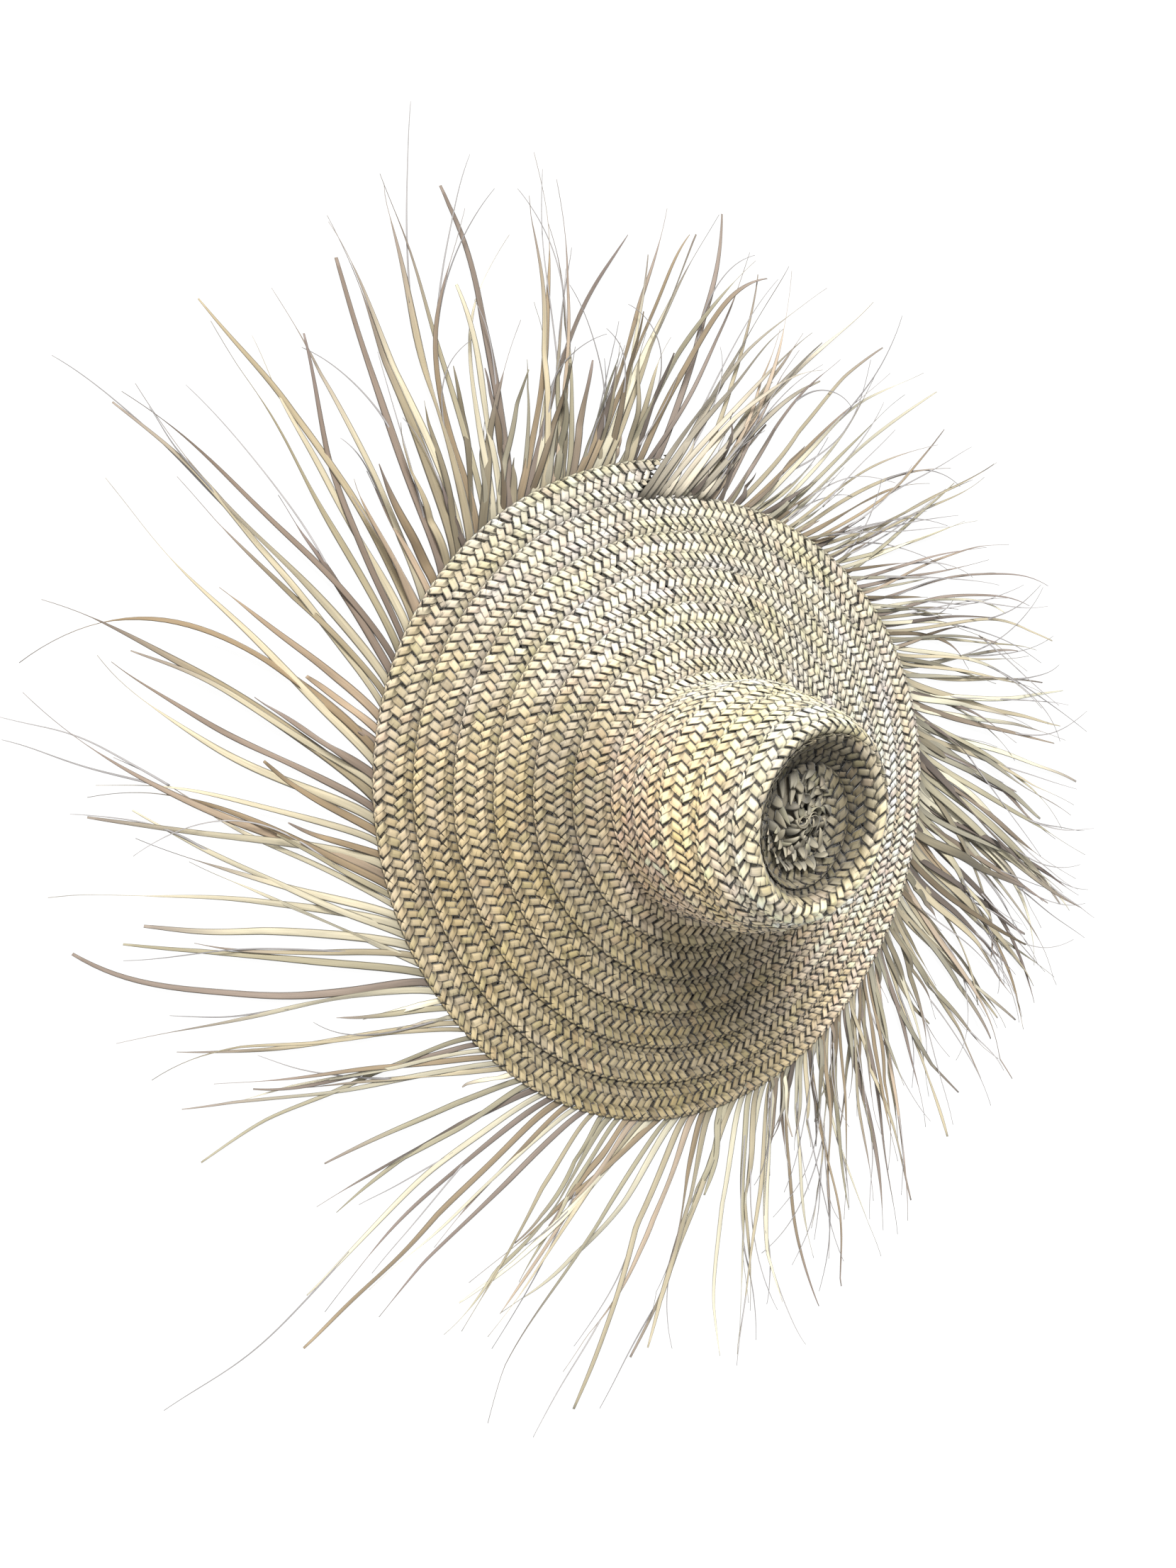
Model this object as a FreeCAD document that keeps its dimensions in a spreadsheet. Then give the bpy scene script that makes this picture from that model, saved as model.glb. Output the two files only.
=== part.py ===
import FreeCAD, Part
import Sketcher
import math
import os

# A wide-brimmed hat made of one long palm-leaf plait, wound from the middle of the sunken tip outwards,
# down the crown and out along the brim, each turn laced to the one before. Loose leaf ends stick out all
# round from under the last turn. Millimetres. +Z is up, and the hat lies brim down on the plane z = 0.

DIMENSIONS = {
    "head_radius": 89.0,        # inside of the headband turn
    "plait_width": 29.0,
    "plait_thick": 2.4,
    "brim_turns": 5,            # whole turns between the bend and the open edge turn
    "edge_slope": 8.0,          # rise of the outermost whole brim turn, degrees
    "slope_step": 3.0,          # each turn nearer the crown is this much steeper, degrees
    "bend_slope": 22.0,
    "bend_start": 2.0,          # straight part of the bend turn before it bends up
    "bend_radius": 12.0,        # brim to crown
    "crown_taper": 19.0,        # degrees off vertical
    "crown_turns": 2,           # whole turns between the headband and the rim
    "rim_rise": 16.0,           # straight side below the rim's fold
    "fold_radius": 7.0,
    "tip_slope": 48.0,          # fall of the tip's wall inside the rim, degrees
    "tip_radius": 12.0,         # tip wall to tip floor
    "leaf_thick": 0.6,
    "leaf_width": 5.8,
    "leaf_point": 1.2,          # width of a leaf end at its point
    "leaf_tuck": 8.0,           # length hidden under the edge turn
    "leaf_lean": 30.0,          # degrees off radial where a leaf leaves the edge
    "leaf_bow": 8.0,            # how far a leaf bows to its left
    "fringe_reach": 490.0,      # from the hat's axis to the leaf points
    "fringe_sectors": 14,
    "sector_leaves": 15,
    "edge_start": 2.0,          # width of the edge turn where it parts from the brim
    "step_azimuth": 96.5,       # where the plait ends
    "lace_thick": 0.56,
    "loop_radius": 4.5,
    "loop_width": 5.0,
    "loop_place": 22.0,         # from the hat's axis
    "loop_count": 13,
    "knot_radius": 15.0,
    "knot_height": 9.0,
    "knot_round": 4.0,
}


def make_sheet(doc):
    sheet = doc.addObject("Spreadsheet::Sheet", "Dims")
    for row, (name, value) in enumerate(DIMENSIONS.items(), start=1):
        sheet.set(f"A{row}", name)
        sheet.set(f"B{row}", str(value))
        sheet.setAlias(f"B{row}", name)
    doc.recompute()
    return sheet


doc = FreeCAD.newDocument("plaited_hat")
sheet = make_sheet(doc)


def dim(name):
    return float(sheet.get(name))


# ---- Profile: the middle of the plait's thickness, walked from the brim's edge to the middle of the tip.
# A point is (radius, height). A heading is in degrees from +radius towards +height.

def along(point, heading, length):
    angle = math.radians(heading)
    return (point[0] + length * math.cos(angle), point[1] + length * math.sin(angle))


def step(point, heading, move):
    """End of one move: ("line", length) or ("arc", radius, turn), where a positive turn is to the left."""
    if move[0] == "line":
        return along(point, heading, move[1]), heading
    kind, radius, turn = move
    side = math.copysign(90.0, turn)
    centre = along(point, heading + side, radius)
    return along(centre, heading + turn - side, radius), heading + turn


def arc_length(radius, turn):
    return radius * math.radians(abs(turn))


def turn_list():
    """Every turn of the plait from the edge inwards: name, heading where it starts, and its moves."""
    width = dim("plait_width")
    turns = []
    for place in range(int(dim("brim_turns"))):
        slope = dim("edge_slope") + place * dim("slope_step")
        turns.append((f"brim_turn_{int(dim('brim_turns')) - place}", 180.0 - slope, [("line", width)]))

    bend = -(90.0 - dim("bend_slope"))
    rise = width - dim("bend_start") - arc_length(dim("bend_radius"), bend)
    turns.append(("brim_bend_turn", 180.0 - dim("bend_slope"),
                  [("line", dim("bend_start")), ("arc", dim("bend_radius"), bend), ("line", rise)]))
    turns.append(("headband_turn", 90.0, [("line", width)]))

    side = 90.0 + dim("crown_taper")
    for place in range(int(dim("crown_turns"))):
        turns.append((f"crown_turn_{place + 1}", side, [("line", width)]))

    first_fold = math.degrees((width - dim("rim_rise")) / dim("fold_radius"))
    wall = 180.0 + dim("tip_slope")
    last_fold = wall - side - first_fold
    turns.append(("rim_turn", side, [("line", dim("rim_rise")), ("arc", dim("fold_radius"), first_fold)]))
    wall_run = width - arc_length(dim("fold_radius"), last_fold)
    turns.append(("tip_wall_turn", side + first_fold,
                  [("arc", dim("fold_radius"), last_fold), ("line", wall_run)]))

    floor_bend = -dim("tip_slope")
    floor_run = width - arc_length(dim("tip_radius"), floor_bend)
    turns.append(("tip_floor_turn", wall, [("arc", dim("tip_radius"), floor_bend), ("line", floor_run)]))
    return turns


def place_turns(turns):
    """Give every turn its starting point, so that the headband has its radius and the edge its height."""
    reach = 0.0
    for name, heading, moves in turns:
        if name == "headband_turn":
            break
        point = (0.0, 0.0)
        for move in moves:
            point, heading = step(point, heading, move)
        reach -= point[0]
    point = (dim("head_radius") + dim("plait_thick") / 2 + reach, dim("leaf_thick") + dim("plait_thick") / 2)
    placed = []
    for name, heading, moves in turns:
        placed.append((name, point, heading, moves))
        for move in moves:
            point, heading = step(point, heading, move)
    return placed, point


# ---- Sketch helpers. A drawn edge is (geometry index, its start vertex, its end vertex).

def vector(point):
    return FreeCAD.Vector(point[0], point[1], 0)


def draw_line(sketch, start, end):
    return sketch.addGeometry(Part.LineSegment(vector(start), vector(end)), False), 1, 2


def draw_arc(sketch, centre, radius, start_angle, turn):
    first, last = sorted((start_angle, start_angle + turn))
    circle = Part.Circle(vector(centre), FreeCAD.Vector(0, 0, 1), radius)
    arc = Part.ArcOfCircle(circle, math.radians(first), math.radians(last))
    index = sketch.addGeometry(arc, False)
    return (index, 1, 2) if turn > 0 else (index, 2, 1)


def join(sketch, edges, kind="Tangent"):
    """Close a ring of drawn edges, each tangent to the next or only meeting it."""
    for this, following in zip(edges, edges[1:] + edges[:1]):
        sketch.addConstraint(Sketcher.Constraint(kind, this[0], this[2], following[0], following[1]))


def bind(sketch, kind, edge, name, value, expression):
    """Give a drawn edge a radius or a length that follows the sheet."""
    sketch.addConstraint(Sketcher.Constraint(kind, edge[0], value))
    sketch.renameConstraint(sketch.ConstraintCount - 1, name)
    sketch.setExpression(f"Constraints.{name}", expression)


def new_body(name):
    body = doc.addObject("PartDesign::Body", name)
    body.Label = name
    body.AllowCompound = True
    return body


def new_sketch(body, name, plane, height=0.0):
    sketch = body.newObject("Sketcher::SketchObject", name)
    for feature in body.Origin.OriginFeatures:
        if feature.Role == plane:
            sketch.AttachmentSupport = [(feature, "")]
    sketch.MapMode = "FlatFace"
    sketch.AttachmentOffset = FreeCAD.Placement(FreeCAD.Vector(0, 0, height), FreeCAD.Rotation())
    return sketch


def revolve(body, sketch):
    ring = body.newObject("PartDesign::Revolution", f"{body.Name}_ring")
    ring.Profile = sketch
    ring.ReferenceAxis = (sketch, ["V_Axis"])
    ring.Angle = 360.0
    return body


def pad(body, sketch, length):
    plate = body.newObject("PartDesign::Pad", f"{body.Name}_plate")
    plate.Profile = sketch
    plate.setExpression("Length", length)
    return plate


def polar_pattern(body, feature, sketch, axis, angle, count):
    copies = body.newObject("PartDesign::PolarPattern", f"{body.Name}_copies")
    copies.Originals = [feature]
    copies.Axis = (sketch, [axis])
    copies.Angle = angle
    copies.setExpression("Occurrences", count)
    body.Tip = copies
    return body


# ---- The turns

def draw_side(sketch, point, heading, moves, offset):
    """One face of the bent strip, offset to the left of its middle line. Returns the drawn edges."""
    edges = []
    for move in moves:
        end, end_heading = step(point, heading, move)
        if move[0] == "line":
            edges.append(draw_line(sketch, along(point, heading + 90, offset), along(end, heading + 90, offset)))
        else:
            kind, radius, turn = move
            side = math.copysign(90.0, turn)
            centre = along(point, heading + side, radius)
            edges.append(draw_arc(sketch, centre, radius - math.copysign(offset, turn * offset),
                                  heading - side, turn))
        point, heading = end, end_heading
    return edges


def inset(point, heading, moves, amount):
    """The moves shortened at both ends, so that the rounded edges fit inside the plait's width."""
    moves = list(moves)
    for index in (0, -1):
        move = moves[index]
        if move[0] == "line":
            shorter = ("line", move[1] - amount)
        else:
            turn = move[2] - math.copysign(math.degrees(amount / move[1]), move[2])
            shorter = ("arc", move[1], turn)
        if index == 0:
            if move[0] == "line":
                point = along(point, heading, amount)
            else:
                skipped = ("arc", move[1], move[2] - shorter[2])
                point, heading = step(point, heading, skipped)
        moves[index] = shorter
    return point, heading, moves


def make_turn(name, point, heading, moves):
    """A flat plait turned once round the hat's axis, with rounded edges that touch the next turns."""
    half = dim("plait_thick") / 2
    body = new_body(name)
    sketch = new_sketch(body, f"{name}_section", "XZ_Plane")
    point, heading, moves = inset(point, heading, moves, half)
    left = draw_side(sketch, point, heading, moves, half)
    right = draw_side(sketch, point, heading, moves, -half)
    end, end_heading = point, heading
    for move in moves:
        end, end_heading = step(end, end_heading, move)
    end_cap = draw_arc(sketch, end, half, end_heading + 90, -180.0)
    start_cap = draw_arc(sketch, point, half, heading - 90, -180.0)
    back = [(index, last, first) for index, first, last in reversed(right)]
    join(sketch, left + [end_cap] + back + [start_cap])
    bind(sketch, "Radius", start_cap, "edge_round", half, "Dims.plait_thick / 2")
    if len(moves) == 1:
        bind(sketch, "Distance", left[0], "run", moves[0][1], "Dims.plait_width - Dims.plait_thick")
    return revolve(body, sketch)



def make_edge_turn(brim_radius):
    """The last turn, still open: a flat plate from the brim out to a spiral of four quarter arcs.

    It is drawn with its step on +X, growing clockwise, and turned to its place afterwards.
    """
    start, growth = dim("edge_start"), (dim("plait_width") - dim("edge_start")) / 4
    body = new_body("brim_edge_turn")
    sketch = new_sketch(body, "brim_edge_outline", "XY_Plane", dim("leaf_thick"))
    sketch.setExpression("AttachmentOffset.Base.z", "Dims.leaf_thick")
    centre, radius, azimuth = (0.0, 0.0), brim_radius + start, 0.0
    first = along(centre, azimuth, radius)
    quarters = []
    for quarter in range(4):
        quarters.append(draw_arc(sketch, centre, radius, azimuth, -90.0))
        azimuth -= 90.0
        last = along(centre, azimuth, radius)
        centre = along(centre, azimuth, -growth)
        radius += growth
    end_step = draw_line(sketch, last, first)
    join(sketch, quarters + [end_step], "Coincident")
    inner = sketch.addGeometry(Part.Circle(vector((0, 0)), FreeCAD.Vector(0, 0, 1), brim_radius), False)
    sketch.addConstraint(Sketcher.Constraint("Coincident", inner, 3, -1, 1))
    pad(body, sketch, "Dims.plait_thick")
    body.Placement = FreeCAD.Placement(FreeCAD.Vector(), about_z(dim("step_azimuth")))
    return body


def about_z(angle):
    return FreeCAD.Rotation(FreeCAD.Vector(0, 0, 1), angle)


def edge_radius(azimuth, brim_radius):
    """The edge turn's outline at an azimuth, as a steadily growing spiral."""
    turned = ((dim("step_azimuth") - azimuth) % 360.0) / 360.0
    return brim_radius + dim("edge_start") + turned * (dim("plait_width") - dim("edge_start"))


# ---- The fringe: each sector is one leaf end and its copies, lying flat on the plane z = 0

def draw_bow(sketch, start, end, bow):
    """An arc from start to end that bows out to its left by so much."""
    across, up = end[0] - start[0], end[1] - start[1]
    chord, heading = math.hypot(across, up), math.degrees(math.atan2(up, across))
    radius = chord ** 2 / (8 * bow) + bow / 2
    half_turn = math.degrees(math.asin(chord / 2 / radius))
    centre = along(along(start, heading, chord / 2), heading - 90, radius - bow)
    return draw_arc(sketch, centre, radius, heading + 90 + half_turn, -2 * half_turn)


def draw_leaf(sketch, root_radius):
    """A leaf end: it leaves its root on +X at the lean, bows to one side and narrows to its point."""
    lean, reach = math.radians(dim("leaf_lean")), dim("fringe_reach")
    heading = -dim("leaf_lean")
    length = math.sqrt(reach ** 2 - (root_radius * math.sin(lean)) ** 2) - root_radius * math.cos(lean)
    root = (root_radius, 0.0)
    point = along(root, heading, length)
    root_half, point_half = dim("leaf_width") / 2, dim("leaf_point") / 2
    root_left, root_right = along(root, heading + 90, root_half), along(root, heading - 90, root_half)
    point_left, point_right = along(point, heading + 90, point_half), along(point, heading - 90, point_half)
    left = draw_bow(sketch, root_left, point_left, dim("leaf_bow"))
    tip = draw_line(sketch, point_left, point_right)
    right, right_root, right_point = draw_bow(sketch, root_right, point_right, dim("leaf_bow"))
    base = draw_line(sketch, root_right, root_left)
    join(sketch, [left, tip, (right, right_point, right_root), base], "Coincident")
    bind(sketch, "Distance", tip, "point_width", dim("leaf_point"), "Dims.leaf_point")
    bind(sketch, "Distance", base, "root_width", dim("leaf_width"), "Dims.leaf_width")


def make_fringe_sector(index, brim_radius):
    sectors, leaves = int(dim("fringe_sectors")), int(dim("sector_leaves"))
    start = dim("step_azimuth") - (index + 1) * 360.0 / sectors
    spacing = 360.0 / (sectors * leaves)
    middle = start + (leaves - 1) / 2 * spacing
    root_radius = edge_radius(middle, brim_radius) - dim("leaf_tuck")
    body = new_body(f"fringe_{index + 1:02d}")
    sketch = new_sketch(body, f"{body.Name}_leaf", "XY_Plane")
    draw_leaf(sketch, root_radius)
    leaf = pad(body, sketch, "Dims.leaf_thick")
    polar_pattern(body, leaf, sketch, "N_Axis", (leaves - 1) * spacing, "Dims.sector_leaves")
    body.Placement = FreeCAD.Placement(FreeCAD.Vector(), about_z(start))
    return body


# ---- The middle of the tip

def make_loops(floor_top):
    """Leaf loops that stand up from the tip floor in a ring, each an arch of leaf."""
    body = new_body("tip_loops")
    sketch = new_sketch(body, "tip_loops_arch", "XZ_Plane")
    foot = (dim("loop_place"), floor_top)
    outside, inside = dim("loop_radius"), dim("loop_radius") - dim("leaf_thick")
    over = draw_arc(sketch, foot, outside, 0.0, 180.0)
    left = draw_line(sketch, along(foot, 180, outside), along(foot, 180, inside))
    under = draw_arc(sketch, foot, inside, 180.0, -180.0)
    right = draw_line(sketch, along(foot, 0, inside), along(foot, 0, outside))
    join(sketch, [over, left, under, right], "Coincident")
    bind(sketch, "Radius", over, "outside", outside, "Dims.loop_radius")
    bind(sketch, "Radius", under, "inside", inside, "Dims.loop_radius - Dims.leaf_thick")
    arch = pad(body, sketch, "Dims.loop_width")
    arch.Midplane = True
    return polar_pattern(body, arch, sketch, "V_Axis", 360.0, "Dims.loop_count")


def make_knot(inner_radius, floor_middle):
    """The gathered start of the plait: a stem that fills the tip floor's hole, and a rounded head."""
    half = dim("plait_thick") / 2
    low, top = floor_middle - half, floor_middle + half
    radius, summit, bend = dim("knot_radius"), top + dim("knot_height"), dim("knot_round")
    body = new_body("centre_knot")
    sketch = new_sketch(body, "centre_knot_section", "XZ_Plane")
    corners = [(radius - bend, summit), (0, summit), (0, low), (inner_radius, low), (inner_radius, top),
               (radius, top), (radius, summit - bend)]
    edges = [draw_line(sketch, start, end) for start, end in zip(corners, corners[1:])]
    shoulder = draw_arc(sketch, (radius - bend, summit - bend), bend, 0.0, 90.0)
    join(sketch, edges + [shoulder], "Coincident")
    bind(sketch, "Radius", shoulder, "shoulder", bend, "Dims.knot_round")
    return revolve(body, sketch)


# ---- The lace that ties turn to turn, in the groove inside each seam

def inner_groove(seam, heading):
    """Where a lace lies between two rounded edges, just inside the seam."""
    return along(seam, heading + 90, (dim("plait_thick") - dim("lace_thick")) / 2)


def edge_groove(seam):
    """Where the lace lies between a rounded edge and the edge turn's upright wall, above the seam."""
    lace, edge = dim("lace_thick") / 2, dim("plait_thick") / 2
    return seam[0] - lace, seam[1] + math.sqrt((edge + lace) ** 2 - (edge - lace) ** 2)


def make_lace(name, places):
    rings = []
    for number, (radius, height) in enumerate(places, start=1):
        ring = doc.addObject("Part::Torus", f"{name}_ring_{number}")
        ring.Radius1 = radius
        ring.setExpression("Radius2", "Dims.lace_thick / 2")
        ring.Placement = FreeCAD.Placement(FreeCAD.Vector(0, 0, height), FreeCAD.Rotation())
        rings.append(ring)
    lace = doc.addObject("Part::Compound", name)
    lace.Links = rings
    lace.Label = name
    return lace


def make_laces(placed):
    """One lace each for brim, crown and tip, as rings: one ring to a seam."""
    seams = {"brim_lace": [edge_groove(placed[0][1])], "crown_lace": [], "tip_lace": []}
    last_heading = placed[0][2]
    for name, point, heading, moves in placed:
        if name != placed[0][0]:
            kind = "brim_lace" if name.startswith(("brim", "headband")) else "crown_lace"
            if name.startswith("tip"):
                kind = "tip_lace"
            seams[kind].append(inner_groove(point, (last_heading + heading) / 2))
        for move in moves:
            point, heading = step(point, heading, move)
        last_heading = heading
    return [make_lace(name, places) for name, places in seams.items()]


# ---- Checks and export

def check(parts):
    broken = [item.Name for item in doc.Objects if {"Invalid", "Error"} & set(item.State)]
    empty = [part.Label for part in parts if part.Shape.isNull() or not part.Shape.isValid()]
    if broken or empty:
        raise RuntimeError(f"failed objects: {broken}, bad shapes: {empty}")


def main():
    placed, tip_edge = place_turns(turn_list())
    parts = [make_turn(*turn) for turn in placed]
    brim_radius = placed[0][1][0]
    parts.append(make_edge_turn(brim_radius))
    for index in range(int(dim("fringe_sectors"))):
        parts.append(make_fringe_sector(index, brim_radius))
    parts.append(make_knot(*tip_edge))
    parts.append(make_loops(tip_edge[1] + dim("plait_thick") / 2))
    parts += make_laces(placed)
    doc.recompute()
    check(parts)
    os.makedirs("parts", exist_ok=True)
    for part in parts:
        part.Shape.exportStep(f"parts/{part.Label}.step")
        box = part.Shape.optimalBoundingBox()
        print(part.Label, round(part.Shape.Volume), len(part.Shape.Solids), round(box.ZMin, 2), round(box.ZMax, 2))


main()
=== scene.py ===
"""A plaited palm-leaf hat.

One plait, four rows wide, is coiled from the tip of the crown out to the brim's edge, where its strips run
on as a fringe. Every strip of the plait is its own closed ribbon. It follows the spiral on the hat's profile,
which comes from the CAD nodes' boxes, and goes over and under the strips of the other family.
Lengths are in metres.
"""

import math

import bpy
import numpy as np
from mathutils import Matrix, Vector


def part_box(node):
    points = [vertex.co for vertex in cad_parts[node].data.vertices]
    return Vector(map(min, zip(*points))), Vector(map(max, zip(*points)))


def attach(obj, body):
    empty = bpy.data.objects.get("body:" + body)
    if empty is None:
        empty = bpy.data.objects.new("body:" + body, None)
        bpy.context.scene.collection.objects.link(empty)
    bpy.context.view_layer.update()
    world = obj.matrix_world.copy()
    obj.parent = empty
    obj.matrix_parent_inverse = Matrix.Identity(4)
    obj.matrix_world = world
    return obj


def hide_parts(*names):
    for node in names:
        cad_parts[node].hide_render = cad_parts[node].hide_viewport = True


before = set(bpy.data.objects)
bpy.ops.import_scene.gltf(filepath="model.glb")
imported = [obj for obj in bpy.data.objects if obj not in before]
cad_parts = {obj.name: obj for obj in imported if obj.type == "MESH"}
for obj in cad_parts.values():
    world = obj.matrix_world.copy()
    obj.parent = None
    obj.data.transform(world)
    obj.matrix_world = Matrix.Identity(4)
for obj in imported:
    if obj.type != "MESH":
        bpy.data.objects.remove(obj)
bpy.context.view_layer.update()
random = np.random.default_rng(226)
TURN = 2 * math.pi

# ---------------------------------------------------------------- the plait
PITCH = 0.029  # the plait's width, which is one turn of the spiral
HALF = PITCH / 2
ROWS = 4
THICK = 0.0024  # the CAD rings' thickness, which the woven strips fill
END_AZIMUTH = math.radians(96.5)  # where the spiral's outer end makes a step
CORNERS = 0.016  # how far the brim's three corners stand out, as a part of its radius
BRIM_RADIUS = 0.269
OVAL = math.radians(63)  # the azimuth of the rim's long axis
LONGER, NARROWER = 0.11, 0.10  # how much longer and narrower than round the rim is
OVAL_FROM, OVAL_OVER = 0.070, 0.085  # the height where the crown starts to turn oval, and over how much of it
RIM_SHIFT = 0.005  # the rim's middle is this far off the axis, towards -Y
LEAF = 0.00036  # a strip's own thickness
WAVE = 0.00080  # how far a strip rises over and dips under the others
ARCH = 0.00100  # how far its edges fall from its middle
SHINGLE = 0.0012  # a turn's outer edge lies over the next turn, by this much
CREASE_SHADE = 0.90  # painted shade: how dark a strip is where it goes under another
RIM_SHADE = 0.92  # painted shade: how much darker its two edges are
LAP = 1.055  # the plait is this much wider than one turn of the spiral, so neighbours overlap
# How many strips' spacings each family moves along the plait in one row, where it shows and where it hides
SHOWN_A, SHOWN_B = 0.70, 0.42
HIDDEN_A, HIDDEN_B = 2 - SHOWN_B, 2 - SHOWN_A
FREE = 3  # strips of family B before this one run free at the plait's outer end
TIP_START = 0.019  # the woven plait starts this far from the tip's centre, along the profile
TURN_NODES = [
    "brim_edge_turn",
    "brim_turn_5",
    "brim_turn_4",
    "brim_turn_3",
    "brim_turn_2",
    "brim_turn_1",
    "brim_bend_turn",
    "headband_turn",
    "crown_turn_1",
    "crown_turn_2",
    "rim_turn",
    "tip_wall_turn",
    "tip_floor_turn",
]


def seam(inner, outer):
    """The point, as radius and height, where two neighbouring brim turns meet."""
    inner_low, inner_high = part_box(inner)
    outer_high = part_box(outer)[1]
    return inner_high.x, (inner_low.z + outer_high.z) / 2


def profile_points():
    """The hat's middle surface from the tip's centre to the brim's edge, as radii and heights."""
    t = THICK / 2
    floor_low, floor_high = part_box("tip_floor_turn")
    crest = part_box("tip_wall_turn")[1].x + 0.0028
    rim_low, rim_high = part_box("rim_turn")
    band_low, band_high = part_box("headband_turn")
    second_low, second_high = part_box("crown_turn_2")
    bend_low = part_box("brim_bend_turn")[0]
    edge_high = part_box("brim_edge_turn")[1]
    wall_r = band_high.x - t
    top = rim_high.z - t
    floor = floor_low.z + t
    foot = floor_high.x
    outer = rim_high.x - t
    points = [
        (0, floor + 0.0035),
        (0.35 * foot, floor + 0.0015),
        (0.7 * foot, floor + 0.0004),
        (foot - 0.003, floor + 0.0022),
        (foot + 0.004, floor + 0.0062),
        (crest - 0.0108, top - 0.0106),
        (crest - 0.0046, top - 0.0030),
        (crest, top),
        (crest + 0.0042, top - 0.0022),
        (crest + 0.0063, top - 0.0058),
        (outer, rim_low.z),
        (second_high.x - t, second_low.z),
        (wall_r, band_high.z),
        (wall_r, band_low.z),
        (wall_r, bend_low.z + 0.0125),
        (wall_r + 0.0016, bend_low.z + 0.0062),
        (wall_r + 0.0064, bend_low.z + 0.0022),
        seam("brim_bend_turn", "brim_turn_1"),
        seam("brim_turn_1", "brim_turn_2"),
        seam("brim_turn_2", "brim_turn_3"),
        seam("brim_turn_3", "brim_turn_4"),
        seam("brim_turn_4", "brim_turn_5"),
        (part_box("brim_turn_5")[1].x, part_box("brim_turn_5")[0].z + 0.0021),
        (edge_high.y, 0.0026),
    ]
    return np.array(points, float)


def smooth_curve(points, steps=40):
    """A centripetal Catmull-Rom curve through the points."""
    ends = np.vstack([2 * points[0] - points[1], points, 2 * points[-1] - points[-2]])
    out = []
    for a, b, c, d in zip(ends, ends[1:], ends[2:], ends[3:]):
        knots = np.cumsum([0] + [np.linalg.norm(q - p) ** 0.5 for p, q in ((a, b), (b, c), (c, d))])
        t = np.linspace(knots[1], knots[2], steps, endpoint=False)[:, None]

        def mix(p, q, i, j):
            return ((knots[j] - t) * p + (t - knots[i]) * q) / (knots[j] - knots[i])

        ab, bc, cd = mix(a, b, 0, 1), mix(b, c, 1, 2), mix(c, d, 2, 3)
        out.append(mix(mix(ab, bc, 0, 2), mix(bc, cd, 1, 3), 1, 2))
    return np.vstack([*out, points[-1:]])


curve = smooth_curve(profile_points())
steps = np.linalg.norm(np.diff(curve, axis=0), axis=1)
ARC = np.concatenate([[0], np.cumsum(steps)])
LENGTH = ARC[-1]
slope = np.gradient(curve, ARC, axis=0)
slope /= np.linalg.norm(slope, axis=1)[:, None]
UP = np.stack([-slope[:, 1], slope[:, 0]], 1)  # the profile's normal, towards the outside


def on_profile(s, height):
    """Radius and height of the points at arc length s along the profile, that far off its middle surface.

    Past the ends it goes straight on.
    """
    inside = np.clip(s, 0, LENGTH)
    r, z = (np.interp(inside, ARC, curve[:, i]) for i in (0, 1))
    nr, nz = (np.interp(inside, ARC, UP[:, i]) for i in (0, 1))
    over = s - inside
    return r + over * nz + height * nr, z - over * nr + height * nz


def stitch_pitch(s):
    """How far apart the strips are along the middle of the plait."""
    places = [0.020, 0.045, 0.075, 0.11, 0.20, 0.26, LENGTH]
    return np.interp(s, places, [0.0054, 0.0070, 0.0084, 0.0077, 0.0070, 0.0074, 0.0075])


LAG = np.linspace(0, TURN * len(TURN_NODES), 20000)  # the angle back along the spiral from its outer end
MIDDLE = LENGTH - HALF - PITCH * LAG / TURN
keep = MIDDLE > TIP_START
LAG, MIDDLE = LAG[keep], MIDDLE[keep]
radius = np.interp(MIDDLE, ARC, curve[:, 0])
COUNT = np.concatenate([[0], np.cumsum(np.diff(LAG) * (radius / stitch_pitch(MIDDLE))[1:])])


def settle(points):
    """A used hat is not quite round.

    Its rim is an oval a little off the middle, and its brim is slightly three-cornered.
    """
    x, y, z = np.moveaxis(points, -1, 0)
    azimuth, radius = np.arctan2(y, x), np.hypot(x, y)
    grown = 1 + CORNERS * np.sin(3 * azimuth) * np.clip(radius / BRIM_RADIUS, 0, 1) ** 2
    x, y = x * grown, y * grown
    up = np.clip((z - OVAL_FROM) / OVAL_OVER, 0, 1)
    up = up * up * (3 - 2 * up)
    c, s = math.cos(OVAL), math.sin(OVAL)
    major, minor = (x * c + y * s) * (1 + LONGER * up), (y * c - x * s) * (1 - NARROWER * up)
    return np.stack([major * c - minor * s, major * s + minor * c - RIM_SHIFT * up, z], -1)


def place(q, v, height):
    """The points of the plait at strip count q from its outer end, v off its middle line, that high off it.

    Returned with their azimuths and their arc lengths along the profile.
    """
    lag = np.interp(q, COUNT, LAG)
    lag = lag + np.minimum(q, 0) * (LAG[1] / COUNT[1])
    s = LENGTH - HALF - PITCH * lag / TURN + v * LAP
    r, z = on_profile(s, height)
    azimuth = END_AZIMUTH + lag
    return settle(np.stack([r * np.cos(azimuth), r * np.sin(azimuth), z], -1)), azimuth, s


# How far each family has moved along the plait, by the place across it. Family A shows in rows 1 and 3, and
# B in rows 0 and 2, counted from the plait's inner edge
across = np.linspace(-HALF - 0.004, HALF + 0.004, 400)
row = (across + HALF) / (PITCH / ROWS)
b_shows = 0.5 + 0.5 * np.tanh(6 * np.sin(math.pi * row))
rate_a = SHOWN_A + (HIDDEN_A - SHOWN_A) * b_shows
rate_b = HIDDEN_B + (SHOWN_B - HIDDEN_B) * b_shows


def summed(rate):
    """The running total of a rate over the rows."""
    return np.concatenate([[0], np.cumsum((rate[1:] + rate[:-1]) / 2 * np.diff(row))])


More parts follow.
